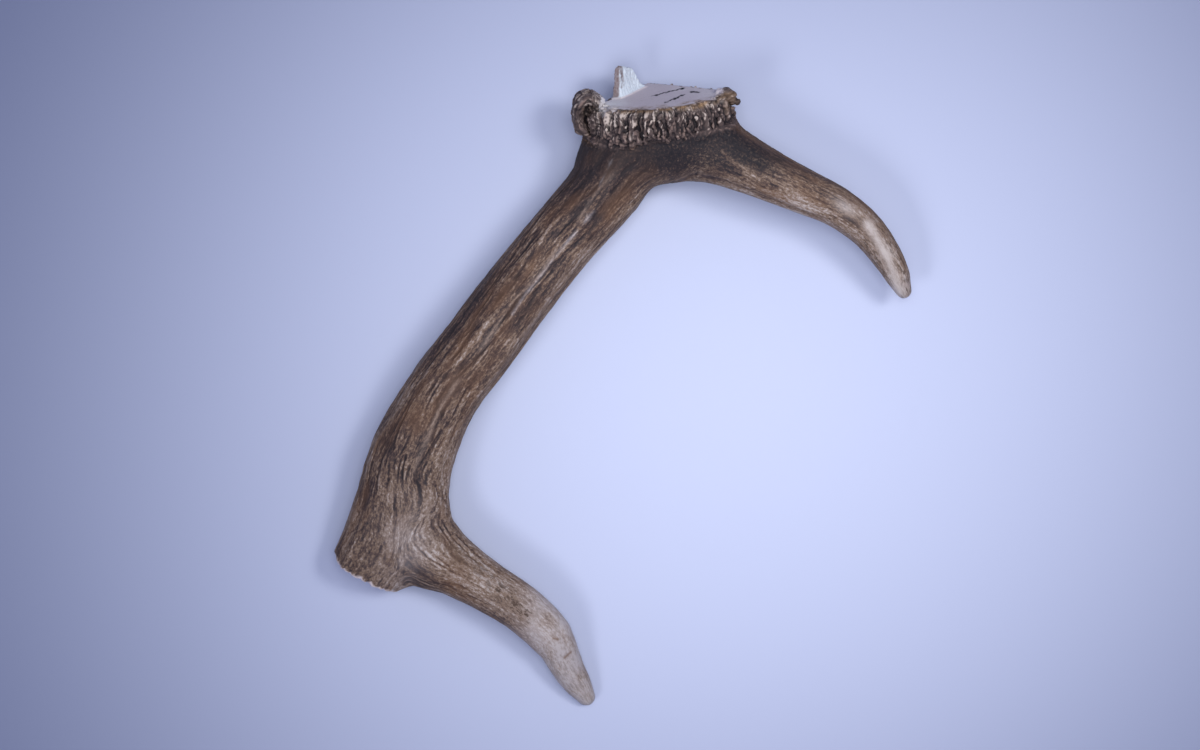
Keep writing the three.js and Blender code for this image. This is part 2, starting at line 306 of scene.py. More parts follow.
def grow(angle, out, depth, size, twist=0.0, lean=0.0):
    """Sets a rib on the burr. Its size is given outward, round the ring and towards the skull."""
    outward = burr_across * math.cos(angle) + burr_over * math.sin(angle)
    place = Matrix.Identity(4)
    for column, direction in enumerate((outward, np.cross(skullward, outward), skullward)):
        place.col[column][:3] = direction
    place.translation = sawn_centre + outward * out - skullward * depth
    turn = Matrix.Rotation(twist, 4, "X") @ Matrix.Rotation(lean, 4, "Y")
    copy = rib.copy()
    copy.data = rib.data.copy()
    copy.data.transform(place @ turn @ Matrix.Diagonal((*size, 1)))
    scene.collection.objects.link(copy)
    grown.append(copy)


def grow_at(across, over, depth, *size_and_turns):
    grow(math.atan2(over, across), math.hypot(across, over) * MM, depth * MM, *size_and_turns)


for i in range(rib_count):
    turn = 2 * math.pi * (i + dice.uniform(-0.32, 0.32)) / rib_count - math.pi
    if abs(math.degrees(turn) - foot_turn) < foot_gap:
        continue
    low = low_side(turn)
    near = max(0.0, math.sin(turn))
    far = min(1.0, max(0.6 * (math.cos(turn) < -0.93), -3 * math.sin(turn)))
    crest = rib_reach - rib_lean * math.cos(turn) + dice.uniform(-1.5, 0.7) * MM
    thick = 0.5 * crest + dice.uniform(0.2, 0.9) * MM
    tall = rib_tall * dice.uniform(0.8, 1.06) + (1.2 * low - 1.1 * far) * MM
    middle = tall + (dice.uniform(-1.6, 0.5) + 0.5 * low + 3.2 * far) * MM
    reach = bone_radius(turn, middle) + crest - thick
    size = (thick, dice.uniform(0.7, 1.5) * MM, tall)
    grow(turn, reach, middle, size, dice.uniform(-0.12, 0.12), dice.uniform(-0.14, 0.0) - 0.4 * near)

# Small pearls sit on the ribs and in the gaps.
for _ in range(pearl_count):
    turn = dice.uniform(-math.pi, math.pi)
    at = (dice.uniform(1.0, 13.5) + 2.6 * max(0.0, -math.sin(turn))) * MM
    if abs(math.degrees(turn) - foot_turn) < foot_gap + 3:
        continue
    swell = math.cos((at - rib_middle) / (9 * MM))
    reach = bone_radius(turn, at) + (3.3 * swell - 1.0 * math.cos(turn) + dice.uniform(-0.6, 0.9)) * MM
    wide = dice.uniform(0.5, 1.2) * MM
    grow(turn, reach, at, (wide, wide * 0.8, wide * dice.uniform(1.0, 3.2)), dice.uniform(-0.7, 0.7))

# The saw ran through the spongy tops of the ribs on the near side.
for _ in range(cut_top_count):
    turn = math.radians(dice.uniform(18, 166))
    reach = bone_radius(turn, 0 * MM) + dice.uniform(0.2, 2.6) * MM
    size = (dice.uniform(1.2, 2.2) * MM, dice.uniform(0.7, 1.6) * MM, dice.uniform(0.6, 1.2) * MM)
    grow(turn, reach, dice.uniform(0.1, 0.9) * MM, size, dice.uniform(-0.5, 0.5), -0.3)

# The shoulder next to the ear is thick with pearls.
for _ in range(shoulder_pearl_count):
    turn = math.radians(dice.uniform(112, 172))
    at = dice.uniform(8.5, 15.0) * MM
    wide = dice.uniform(0.9, 1.8) * MM
    reach = bone_radius(turn, at) + dice.uniform(2.2, 4.2) * MM
    grow(turn, reach, at, (wide, wide, wide * dice.uniform(1.0, 1.5)), dice.uniform(-0.5, 0.5))

# The ear: a thick rolled rim with a deep slit behind it, on a root that hides under it, and a small spike.
ear_rim = [
    (-28.1, -0.6, 2.7), (-30.5, -3.0, 2.6), (-33.0, -3.9, 2.5), (-35.4, -2.5, 2.4), (-36.9, 0.2, 2.3),
    (-37.7, 3.4, 2.2), (-37.8, 6.7, 2.2), (-37.0, 9.3, 2.2), (-35.2, 10.8, 1.7),
]  # across and depth, and half the rim's thickness
ear_over = 2.1
ear_wide = 6.0
for (across, at, half), (next_across, next_at, next_half) in zip(ear_rim, ear_rim[1:]):
    for part in np.linspace(0, 1, 7):
        here = across + part * (next_across - across)
        down = at + part * (next_at - at)
        round_rim = (half + part * (next_half - half)) * MM
        grow_at(here, ear_over, down, (round_rim, ear_wide * MM, round_rim))
for across, over, at, size in (
    (-33.2, -4.6, 2.0, (4.2, 2.6, 5.6)),
    (-31.5, -6.0, 7.0, (4.2, 3.2, 5.0)),
    (-29.6, 6.5, 8.6, (3.4, 3.6, 6.6)),
    (-29.0, 1.0, 7.5, (3.0, 4.2, 6.8)),
):
    grow_at(across, over, at, tuple(half * MM for half in size))
grow_at(-33.2, 4.5, -6.2, (1.9 * MM, 0.5 * MM, 0.6 * MM), 0, 0.5)

# The knob over the brow tine, with a bead on a short neck.
for across, over, at, half in (
    (25.4, 4.0, 0.9, 2.6),
    (27.6, 5.5, 0.6, 2.9),
    (29.6, 5.0, 1.8, 2.5),
    (30.4, 4.8, 3.8, 1.7),
    (32.2, 5.4, 4.6, 1.35),
):
    grow_at(across, over, at, (half * MM, 1.1 * half * MM, half * MM))
bead_place = sawn_centre + (32.4 * burr_across + 5.4 * burr_over - 4.6 * skullward) * MM
bpy.data.objects.remove(rib)


# ---- Splinter --------------------------------------------------------------------------------------------
# Where the saw cut ended, a thin wall of bone snapped off and stands up from the sawn face, with a sheer
# broken end on its outer side and long fibres down its face.

splinter_tall = 13.3 * MM
splinter_outline = [
    (184, 0), (187, 0.03), (189, 0.12), (191, 0.45), (193, 0.90), (195, 1),
    (199, 1.01), (204, 0.99), (210, 0.92), (216, 0.88), (222, 0.84), (227, 0.76),
    (231, 0.60), (235, 0.40), (239, 0.23), (243, 0.11), (249, 0.03), (254, 0),
]  # degrees round the rim, and the share of its height
splinter_angles, splinter_heights = zip(*splinter_outline)
splinter_root = 1.5 * MM
splinter_columns = 61
splinter_rows = 15

bpy.ops.object.select_all(action="DESELECT")
bpy.ops.mesh.primitive_grid_add(
    x_subdivisions=splinter_columns - 1, y_subdivisions=splinter_rows - 1, size=2
)
splinter = bpy.context.object
splinter.name = "splinter"
sheet = points_of(splinter)
along = (sheet[:, 0] + 1) / 2
rise = (sheet[:, 1] + 1) / 2
turn_degrees = splinter_angles[0] + along * (splinter_angles[-1] - splinter_angles[0])
ragged = 1 + 0.035 * np.sin(turn_degrees * 2.1) + 0.03 * np.sin(turn_degrees * 5.3)
top = np.interp(turn_degrees, splinter_angles, splinter_heights) * splinter_tall * ragged
level = -splinter_root + rise * (top + splinter_root)
turn = np.radians(turn_degrees) - 2 * math.pi
rim = bone_radius(turn, 0 * MM) - 0.1 * MM


def splinter_side(inset):
    """One face of the splinter, a little further in at its top than at its root."""
    out = rim - inset - 0.06 * np.maximum(level, 0)
    outward = np.cos(turn)[:, None] * burr_across + np.sin(turn)[:, None] * burr_over
    return sawn_centre + outward * out[:, None] + skullward * level[:, None]


move_points(splinter, splinter_side(0))
wall = splinter.modifiers.new("wall", "SOLIDIFY")
wall.thickness = 1 * MM
apply_modifiers(splinter)
height_share = np.clip(level / splinter_tall, 0, 1)
foot = 2.2 * np.exp(-np.maximum(level, 0) / (2.2 * MM))
broken_end = 1 - ramp(turn_degrees, 196, 226)
wall_thickness = (1.7 + 1.0 * broken_end - 0.6 * height_share + foot) * MM
move_points(splinter, np.vstack((splinter_side(0), splinter_side(wall_thickness))))
select_only(splinter)
bpy.ops.object.mode_set(mode="EDIT")
bpy.ops.mesh.select_all(action="SELECT")
bpy.ops.mesh.normals_make_consistent(inside=False)
bpy.ops.object.mode_set(mode="OBJECT")

bone_grain = 0.4 * MM  # the finest form that the surface holds
bone = fuse([bone, splinter, *grown], bone_grain)
skin = points_of(bone)
angle, out, depth = burr_places(skin)
rim = bone_radius(angle, 0 * MM)
turned = np.degrees(angle) % 360
on_face = (out < rim + 0.5 * MM) & (np.abs(depth) < 0.5 * MM)
on_face |= (out < rim + 6 * MM) & (depth < 0.35 * MM) & (depth > -2.5 * MM) & (turned > 30) & (turned < 163)
wall_foot = (turned > 182) & (turned < 255) & (out > rim - 6.5 * MM)
off_ribs = ramp(depth, 13 * MM, 18 * MM) * ramp(end_places(skin), 0.3 * MM, 1.5 * MM)
smooth_where(bone, 0.25 + 0.75 * off_ribs, 6)
skin = points_of(bone)
flat = on_face & ~wall_foot
_, _, depth = burr_places(skin)
skin[flat] += (skullward * depth[:, None])[flat]
move_points(bone, skin)


# ---- Grain -----------------------------------------------------------------------------------------------
# Blood vessels in the velvet left grooves that run along the bone and out into both tines, with worn ridges
# between them. They are deepest along the beam and fade out on the polished tips.

# The middle line of each limb, and half its width at each point.
beam_line = [
    (17.7, 127.7, 29.5, 27.5), (17.0, 121.7, 27.2, 27.5), (13.6, 112.8, 24.5, 25.5),
    (8.6, 105.6, 23.6, 22.5), (2.0, 97.6, 23.3, 19.3), (-7.9, 86.6, 23.0, 16.2),
    (-26.5, 64.9, 24.5, 15.2), (-44.5, 42.4, 26.0, 15.2), (-62.0, 19.4, 25.5, 15.8),
    (-78.8, -2.7, 22.5, 16.6), (-91.9, -28.6, 19.0, 17.8), (-98.6, -49.5, 17.0, 17.3),
    (-106.2, -67.3, 15.2, 16.6), (-114.2, -82.2, 12.3, 15.5),
]
brow_line = [
    (22.1, 116.6, 28.0, 16.0), (35.0, 106.8, 28.5, 13.8), (48.8, 100.3, 29.0, 12.6),
    (63.6, 93.2, 29.5, 10.8), (78.9, 86.1, 29.0, 9.7), (94.2, 79.2, 27.0, 8.8),
    (107.8, 69.2, 24.0, 7.8), (118.1, 55.8, 20.0, 6.4), (124.5, 42.9, 16.5, 3.5),
]
tine_line = [
    (-93.6, -36.3, 17.0, 12.5), (-91.5, -60.0, 16.0, 15.5), (-83.1, -72.6, 16.0, 15.6),
    (-72.5, -79.5, 16.0, 12.8), (-58.6, -88.1, 16.5, 10.9), (-43.9, -97.5, 15.5, 10.4),
    (-31.7, -109.2, 13.0, 9.8), (-23.8, -124.4, 8.4, 7.2), (-15.6, -137.4, 4.1, 4.0),
]
brow_starts = 12 * MM  # along the beam
tine_starts = 203 * MM


def curve_through(stations, steps=20):
    """A smooth line through the stations, in metres, with its half width in the last column."""
    knots = np.array(stations) * MM
    knots = np.vstack((2 * knots[0] - knots[1], knots, 2 * knots[-1] - knots[-2]))
    t = np.linspace(0, 1, steps, endpoint=False)[:, None]
    rows = []
    for a, b, c, d in zip(knots, knots[1:], knots[2:], knots[3:]):
        bend = (2 * a - 5 * b + 4 * c - d) * t**2 + (3 * b - a - 3 * c + d) * t**3
        rows.append(0.5 * (2 * b + (c - a) * t + bend))
    return np.vstack((*rows, knots[-2:-1]))


class Limb:
    """Where each point of the skin lies on a limb: across it, over it, along it, and out from its middle."""

    def __init__(self, stations, points):
        curve = curve_through(stations)
        centre = curve[:, :3]
        along = np.gradient(centre, axis=0)
        along /= np.linalg.norm(along, axis=1)[:, None]
        across = np.cross([0, 0, 1], along)
        across /= np.linalg.norm(across, axis=1)[:, None]
        over = np.cross(along, across)
        run = np.concatenate(([0], np.cumsum(np.linalg.norm(np.diff(centre, axis=0), axis=1))))
        nearest = np.concatenate(
            [((some[:, None] - centre) ** 2).sum(2).argmin(1) for some in np.array_split(points, 100)]
        )
        offset = points - centre[nearest]
        self.across = (offset * across[nearest]).sum(1)
        self.over = (offset * over[nearest]).sum(1)
        self.distance = run[nearest] + (offset * along[nearest]).sum(1)
        self.share = self.distance / run[-1]
        self.out = np.linalg.norm(offset, axis=1) - curve[nearest, 3]

    def unrolled(self, runs, middles, wides, highs, start=0.0):
        """Lays the skin out so that grooves run lengthwise. Its middle and size change along the limb."""
        turn = np.arctan2(self.over, self.across)
        sizes = (np.interp(self.distance / MM, runs, row) * MM for row in (middles, wides, highs))
        middle, wide, high = sizes
        return np.stack((middle + wide * np.cos(turn), high * np.sin(turn), start + self.distance), 1)


hash_row = np.random.default_rng(5).permutation(256)
slopes = np.random.default_rng(6).normal(size=(256, 3))
slopes /= np.linalg.norm(slopes, axis=1)[:, None]


def noise(points, *cells):
    """Smooth noise from about -1 to 1, with cells of the given sizes. A number that is added to the points
    gives another pattern of the same kind."""
    places = points / np.array(cells if len(cells) == 3 else cells * 3)
    corner = np.floor(places).astype(int)
    inside = places - corner
    ease = inside**3 * (inside * (inside * 6 - 15) + 10)
    total = np.zeros(len(places))
    for step in itertools.product((0, 1), repeat=3):
        x, y, z = (corner + step).T & 255
        slope = slopes[hash_row[(hash_row[(hash_row[x] + y) & 255] + z) & 255]]
        share = np.where(step, ease, 1 - ease).prod(1)
        total += share * (slope * (inside - step)).sum(1)
    return 1.6 * total


def mix(amount, base, other):
    if base.ndim > 1:
        amount = amount[:, None]
    return base + amount * (other - base)


skin = points_of(bone)
beam = Limb(beam_line, skin)
brow = Limb(brow_line, skin)
tine = Limb(tine_line, skin)

# Each point follows the limb that it is nearest to. The layouts of two limbs agree where they meet, so the
# grain parts in a Y at each fork.
change = 5 * MM
to_brow = ramp(beam.out - brow.out, -change, change)
to_tine = ramp(beam.out - tine.out, -change, change)
to_beam = (1 - to_brow) * (1 - to_tine)
grain = beam.unrolled([8, 32, 200, 232], [11, 0, 0, -7.5], [27, 16, 16, 9.5], [22, 16, 16, 16])
brow_grain = brow.unrolled([0, 30], [27, 27], [11, 11], [14, 11], brow_starts)
tine_grain = tine.unrolled([4, 28, 75], [0, 9.5, 9.5], [16, 7.5, 11], [16, 13, 12], tine_starts)
grain = mix(to_brow, grain, brow_grain)
grain = mix(to_tine, grain, tine_grain)

# On the ear the grain runs round its slit.
angle, out, depth = burr_places(skin)
slit_across = 32.5 * MM
slit_depth = 4.5 * MM
ear_x = (sawn_centre - skin) @ burr_across - slit_across
ear_y = depth - slit_depth
ear_out = np.hypot(ear_x, ear_y)
in_ear = ramp(ear_x, -4.5 * MM, -1.5 * MM) * (1 - ramp(ear_out, 10 * MM, 13 * MM))
ear_grain = np.stack((ear_out, skin @ burr_over, 6 * MM * np.arctan2(ear_y, ear_x)), 1)
grain = mix(in_ear, grain, ear_grain)

sway = np.stack((noise(grain, 12 * MM, 12 * MM, 22 * MM), noise(grain + 0.3, 12 * MM, 12 * MM, 22 * MM)), 1)
grain[:, :2] += 0.8 * MM * sway
broad = noise(grain, 7 * MM, 7 * MM, 60 * MM)
lines = noise(grain + 0.1, 2.9 * MM, 2.9 * MM, 34 * MM)
lines += 0.16 * noise(grain + 0.6, 1.1 * MM, 1.1 * MM, 5 * MM)
broken = noise(grain + 0.2, 3 * MM, 3 * MM, 14 * MM)
cut = np.clip(1 - np.abs(lines - 0.12) / 0.32, 0, 1) * ramp(broken, -0.35, 0.3)
fine = noise(grain + 0.5, 1.2 * MM, 1.2 * MM, 5 * MM)

from_end = end_places(skin)
off_saw = ramp(from_end, 0.2 * MM, 0.8 * MM) * ramp(depth, 0.4 * MM, 1.4 * MM)
polish = to_brow * ramp(brow.share, 0.05, 0.8) + to_tine * ramp(tine.share, 0.25, 0.65)
polish += 0.6 * to_beam * ramp(beam.distance, 205 * MM, 235 * MM)
polish += 0.4 * to_beam * ramp(beam.across, 7 * MM, 13 * MM)
polish += 0.6 * to_brow * ramp(-brow.across, 2 * MM, 8 * MM)
below_burr = ramp(depth, 13 * MM, 34 * MM)
strength = (0.1 + 0.9 * below_burr) * (1 - 0.85 * np.minimum(polish, 1)) * off_saw

# A worn ridge runs down the middle of the beam, and opens into a saddle at the lower fork.
ridge_runs = [36, 51, 66, 95, 124, 152, 181, 203]
ridge_at = np.interp(beam.distance / MM, ridge_runs, [-2, -1.4, 0, 2.4, 2, 2, 4, 3.5]) * MM
ridge_wide = (0.6 + 0.6 * ramp(beam.distance, 60 * MM, 95 * MM) + 0.5 * noise(grain + 0.7, 9 * MM)) * MM
ridge_wide = np.maximum(ridge_wide, 0.3 * MM)
from_ridge = beam.across - ridge_at + 1.1 * MM * broken
on_ridge = np.exp(-((from_ridge / ridge_wide) ** 2)) * (beam.over > 0) * to_beam
on_ridge *= ramp(noise(grain + 0.8, 3 * MM, 3 * MM, 17 * MM), -0.5, 0.35)
on_ridge *= ramp(beam.distance, 32 * MM, 50 * MM) * (1 - ramp(beam.distance, 192 * MM, 212 * MM))

crumbs = noise(skin, 1.1 * MM)
rough_burr = ramp(depth, 0.3 * MM, 1.2 * MM) + ramp(-depth, 0.5 * MM, 1.5 * MM)
rough_burr *= 1 - ramp(depth, 13 * MM, 20 * MM)

# The relief is in millimetres.
relief = strength * (0.30 * broad + 0.16 * fine - 0.48 * cut * (0.4 + 0.6 * below_burr))
relief += 0.05 * off_saw * fine
relief += 0.35 * on_ridge * below_burr
relief += rough_burr * (0.26 * crumbs + 0.32 * noise(grain + 0.9, 0.9 * MM, 0.9 * MM, 5 * MM))
relief += 0.15 * crumbs * (1 - below_burr) * off_saw
relief += in_ear * (0.5 * noise(skin, 2.6 * MM) + 0.8 * noise(grain + 1.3, 1.2 * MM, 2.2 * MM, 8 * MM))
move_points(bone, skin + normals_of(bone) * (relief * MM)[:, None])

# The saw chipped the rim of the lower end between its ridges, and its outer corner is worn round.
skin = points_of(bone)
chip_turn = np.arctan2(beam.over, beam.across) * 9 + 2.6 * noise(grain, 5 * MM)
chip_size = 0.75 + 0.9 * noise(grain + 0.4, 5 * MM)
notch = (1 - np.abs(np.cos(chip_turn))) ** 1.3 + 0.3 * noise(skin, 1.3 * MM)
near_end = 1 - ramp(from_end, 0, 4 * MM)
near_rim = near_end * ramp(np.hypot(beam.across, beam.over), 9.5 * MM, 13.5 * MM) * to_beam
corner = ramp(-beam.across, 8 * MM, 15.5 * MM)
skin -= end_outward * ((1.5 * MM * notch * chip_size + 2.6 * MM * corner**2) * near_rim)[:, None]
skin[:, 2] = np.maximum(skin[:, 2], 0)  # nothing reaches under the ground
move_points(bone, skin)


# ---- Bone colour -----------------------------------------------------------------------------------------
# Bone is stained brown by bark and earth, darkest in the grooves and round the burr, and is worn pale on
# ridges and tips. Shade is painted into its hollows, the burr's gaps and the brow tine's root, and a little
# on the beam's left side. Sawn and snapped faces are raw grey-white bone. Each stain and each painted shade
# is laid on as a mask.


def neighbour_mean(piece, values, times):
    """Averages values over each point's neighbours, several times over."""
    ends = np.empty(len(piece.data.edges) * 2, np.int32)
    piece.data.edges.foreach_get("vertices", ends)
    ends = ends.reshape(-1, 2)
    here = np.concatenate((ends[:, 0], ends[:, 1]))
    there = np.concatenate((ends[:, 1], ends[:, 0]))
    count = np.bincount(here, minlength=len(values))[:, None]
    for _ in range(times):
        columns = [np.bincount(here, values[there, axis], len(values)) for axis in range(3)]
        values = np.stack(columns, 1) / count
    return values


def patch(x, y, radius, long=1.0, turn=0.0):
    """A soft patch on the upper side, about a place given in millimetres."""
    away_x = skin[:, 0] - x * MM
    away_y = skin[:, 1] - y * MM
    lengthwise = away_x * math.cos(math.radians(turn)) + away_y * math.sin(math.radians(turn))
    sideways = away_y * math.cos(math.radians(turn)) - away_x * math.sin(math.radians(turn))
    away = np.hypot(lengthwise / long, sideways) / (radius * MM)
    return np.exp(-(away**2)) * (skin_normal[:, 2] > -0.2)


def near_path(x, y, path, width):
    """1 on a path of straight steps, and less away from it."""
    nearest = np.full(len(x), np.inf)
    for (x0, y0), (x1, y1) in zip(path, path[1:]):
        step = np.array([x1 - x0, y1 - y0])
        share = np.clip(((x - x0) * step[0] + (y - y0) * step[1]) / (step @ step), 0, 1)
        nearest = np.minimum(nearest, np.hypot(x - x0 - share * step[0], y - y0 - share * step[1]))
    return np.exp(-((nearest / width) ** 2))


def marked(path, width, sway=0.0):
    """1 along a path on the bone as it lies, given in millimetres."""
    return near_path(skin[:, 0] / MM + sway, skin[:, 1] / MM, path, width)


skin = points_of(bone)
skin_normal = normals_of(bone)
upper = skin_normal[:, 2] > 0
# How far each point sits in a small hollow and in a deep one; both darken the bone there as dirt and painted
# shade.
hollow = ((neighbour_mean(bone, skin, 7) - skin) * skin_normal).sum(1) / MM
deep = ((neighbour_mean(bone, skin, 60) - skin) * skin_normal).sum(1) / MM

# Raw bone shows where it was sawn, snapped or chipped, out to a frayed rim.
angle, out, depth = burr_places(skin)
rim = bone_radius(angle, 0 * MM)
fray = 0.9 * MM * noise(skin, 3 * MM) + 0.5 * MM * noise(skin, 1.1 * MM)
turned = np.degrees(angle) % 360
offset = skin - sawn_centre
in_splinter = ramp(turned, 180, 184) * (1 - ramp(turned, 253, 257)) * ramp(-depth, 0.3 * MM, 0.8 * MM)
in_splinter *= out < rim + 1.5 * MM
near_side = ramp(turned, 14, 40) * (1 - ramp(turned, 150, 172))
cut_rim = rim + (0.4 + 1.9 * near_side) * MM + 2.2 * fray
raw_base = (1 - ramp(depth, 0.3 * MM, 1.2 * MM)) * ramp(cut_rim - out, -0.3 * MM, 0.5 * MM)
raw_end = 1 - ramp(from_end, 0.1 * MM, 0.5 * MM)
chip_place = sawn_centre + (-24.5 * burr_across + 9 * burr_over - 0.4 * skullward) * MM
chip = 1 - ramp(np.linalg.norm(skin - chip_place, axis=1) + 3 * fray, 2.6 * MM, 5.5 * MM)
chip *= offset @ burr_across > -28 * MM
raw = np.clip(np.maximum(np.maximum(raw_base, in_splinter), 0.85 * chip) + raw_end, 0, 1)

# On the sawn base the fibres run aslant, and on the splinter they run up it.
face_across = offset @ burr_across
face_over = offset @ burr_over
slant = math.radians(-36)
fibre_along = face_across * math.cos(slant) + face_over * math.sin(slant)
fibre_beside = face_over * math.cos(slant) - face_across * math.sin(slant)
face_grain = np.stack((fibre_beside, depth, fibre_along), 1)
splinter_grain = np.stack((face_across, face_over, depth), 1)
on_base = (depth < 0.6 * MM) & (out < rim + 1 * MM)
grain[on_base] = face_grain[on_base]
grain[in_splinter > 0.5] = splinter_grain[in_splinter > 0.5]
grain_field = bone.data.attributes.new("grain", "FLOAT_VECTOR", "POINT")
grain_field.data.foreach_set("vector", grain.astype(np.float32).ravel())

# The burr's ribs are pale along their crests, most of all next to the saw cut.
shoulder = low_side(angle)
in_burr = ramp(depth, 0.2 * MM, 0.9 * MM) + ramp(-depth, 0.2 * MM, 0.6 * MM)
in_burr *= ramp(out, rim - 1 * MM, rim + 1 * MM)
in_burr *= 1 - ramp(depth, (12.5 + 3 * shoulder) * MM, (14 + 3.5 * shoulder) * MM)
in_knob = ramp(face_across, 25 * MM, 28 * MM) * (1 - ramp(depth, 6 * MM, 9 * MM))
bone_out = neck_radius(angle, depth)
crest = ramp(out, bone_out + 2.8 * MM, bone_out + 4.6 * MM)
crest *= (1 - 0.75 * in_ear) * (1 - 0.85 * in_knob)
crest *= ramp(noise(grain + 1.1, 2.2 * MM, 2.2 * MM, 6 * MM), -0.3, 0.4)
near_saw = 1 - ramp(depth, 2.5 * MM, 10 * MM)
fringe = (1 - ramp(depth, 0.4 * MM, 3.6 * MM)) * ramp(out, rim - 0.6 * MM, rim + 0.8 * MM)
fringe *= (1 - in_ear) * (1 - 0.75 * in_knob)
fringe *= ramp(noise(grain + 1.2, 1.2 * MM, 1.2 * MM, 5 * MM), -0.5, 0.3)
bead = np.exp(-((np.linalg.norm(skin - bead_place, axis=1) / (1.9 * MM)) ** 4))

# How pale the bone is, from 0 to 1. It lightens towards the tips and on the saddle of the lower fork, and
# holds a little painted shade on the beam's left side.
saddle = patch(-95, -69, 10, 1.7, 75)
lift = 0.40 + 0.10 * ramp(beam.share, 0.5, 0.9) * to_beam
lift -= 0.19 * (1 - ramp(depth, 18 * MM, 46 * MM)) * to_beam
lift += to_brow * (0.03 + 0.10 * ramp(brow.share, 0.35, 0.6) + 0.10 * ramp(brow.share, 0.74, 0.97))
lift += to_tine * (0.08 + 0.14 * ramp(tine.share, 0.3, 0.55) + 0.14 * ramp(tine.share, 0.55, 0.85))
lift -= 0.13 * to_tine * ramp(-tine.across, 4 * MM, 9 * MM) * (1 - ramp(tine.share, 0.7, 0.95))
lift += 0.16 * saddle + 0.07 * patch(-66, -82, 9, 2.2, -30)
# The beam's left side is a little darker: partly its stain, partly painted shade on the side away from the
# lamp.
lift -= 0.06 * ramp(-beam.across, 5 * MM, 13 * MM) * to_beam
lift += to_brow * (0.05 * ramp(-brow.across, 3 * MM, 9 * MM) - 0.07 * ramp(brow.across, 3 * MM, 8 * MM))
lift -= 0.16 * patch(50, 103, 6, 2.6, -28)
lift -= 0.26 * patch(102.5, 72.3, 2.4, 1.7, -15) + 0.10 * patch(82, 90.5, 2.6, 5, -27)
lift += 0.05 * ramp(beam.across, 7 * MM, 13 * MM) * to_beam + 0.06 * patch(75, 84, 4.5, 4, -27)
bleach = to_brow * ramp(brow.share, 0.93, 1.0) + to_tine * ramp(tine.share, 0.48, 0.8) + 0.45 * saddle
ivory_streak = marked([(107.5, 71.3), (116.0, 58.0), (122.5, 42.0)], 2.4)
ivory_streak += 0.8 * patch(97.4, 78.5, 2.6, 2.2, -35)
ivory_streak *= upper

# The flanks are a warmer brown, and soot-dark dirt lies on the neck. At the brow tine's root and in the web
# beside it, the dark patches are painted shade of the hollow there as well as dirt.
broad_facing = neighbour_mean(bone, skin_normal, 25)
flank = 1 - ramp(np.abs(broad_facing[:, 2]) / np.linalg.norm(broad_facing, axis=1), 0.35, 0.9)
flank *= 1 - to_tine * ramp(tine.share, 0.3, 0.6)
brow_top = marked([(50.0, 116.5), (73.0, 98.0), (102.0, 80.5)], 5)
flank = np.maximum(flank, 0.8 * brow_top)
lift += 0.09 * flank * (1 - ramp(brow.across, 2 * MM, 6 * MM) * to_brow) - 0.02 * (1 - flank) * to_beam
soot = 0.60 * (1 - ramp(depth, 18 * MM, 40 * MM)) * (1 - to_tine)
# Painted shade: the hollow at the brow tine's root and the web beside it are darkened.
soot += 2.3 * patch(43, 107, 6.5, 1.5, -30) + 1.3 * patch(59, 100, 4, 2.0, -28)
soot += 0.5 * patch(30, 95, 8, 1.3, -20) + 0.35 * patch(22, 101, 8, 1.2, 0)
soot *= (1 - 0.6 * flank) * (1 - 0.8 * brow_top) * (1 - 0.5 * patch(-12, 100, 10, 1.2, 60))
brow_ridge = marked([(43.7, 102.7), (46.8, 99.3), (58.0, 91.5)], 1.1)
lift += 0.22 * brow_ridge * upper
soot *= 1 - 0.8 * brow_ridge

# Pale scrapes on the beam, a speckled band and two short scratches on the second tine.
beam_scrape = [(-12.0, 76.5), (-25.8, 61.0), (-36.6, 46.6), (-41.5, 41.1), (-47.5, 32.1)]
pale_line = marked(beam_scrape, 0.6, 0.4 * noise(skin, 6 * MM))
pale_line += 0.55 * marked([(-4.4, 98.5), (-9.7, 87.7)], 0.35)
pale_line *= upper * (0.5 + 0.7 * noise(skin + 0.2, 4 * MM))
speckled = marked([(-72.8, -70.8), (-55.0, -87.0), (-41.6, -100.5)], 3.4)
speckled *= 0.45 + 0.55 * ramp(skin[:, 0], -62 * MM, -50 * MM)
speckled += to_tine * 0.25 * ramp(tine.share, 0.7, 0.85) + to_brow * 0.7 * ramp(brow.share, 0.66, 0.78)
speckled *= skin_normal[:, 2] > -0.2
scratches = marked([(-29.9, -110.1), (-27.9, -110.6)], 0.55)
scratches += marked([(-25.0, -119.0), (-22.2, -116.5)], 0.5)
scratches *= upper

# The sawn base has dried open in short cracks, and is stained ochre along its near rim.
crack_x = face_across / MM + 0.7 * noise(skin, 1.3 * MM)
crack_y = face_over / MM + 1.3 * noise(skin + 0.1, 1.6 * MM)
cracks = near_path(crack_x, crack_y, [(0.9, 10.5), (4.5, 7.0), (9.6, 1.7)], 0.55)
cracks += near_path(crack_x, crack_y, [(-2.5, -2.2), (3.1, -5.1), (8.0, -7.4), (10.0, -8.6)], 0.5)
cracks += 0.8 * near_path(crack_x, crack_y, [(13.4, -1.4), (15.6, 0.2)], 0.9)
cracks += 0.7 * near_path(crack_x, crack_y, [(-4.4, -1.0), (-2.0, -2.2)], 0.45)
cracks *= np.abs(depth) < 0.6 * MM
ochre = 0.8 * np.exp(-(((turned - 46) / 20) ** 2)) * ramp(out, rim - 4 * MM, rim)
ochre *= 1 - ramp(depth, 1.2 * MM, 2.8 * MM)
rim_stain = ramp(out, rim - 5.5 * MM, rim + 0.6 * MM + fray) * (1 - ramp(depth, 0.5 * MM, 1.4 * MM))
ochre += 0.55 * near_side * rim_stain
ochre *= ramp(noise(skin, 4 * MM), -0.45, 0.3)
ochre = (ochre + 0.3 * in_knob) * (1 - in_ear) * (depth > -1 * MM) * (1 - bead)
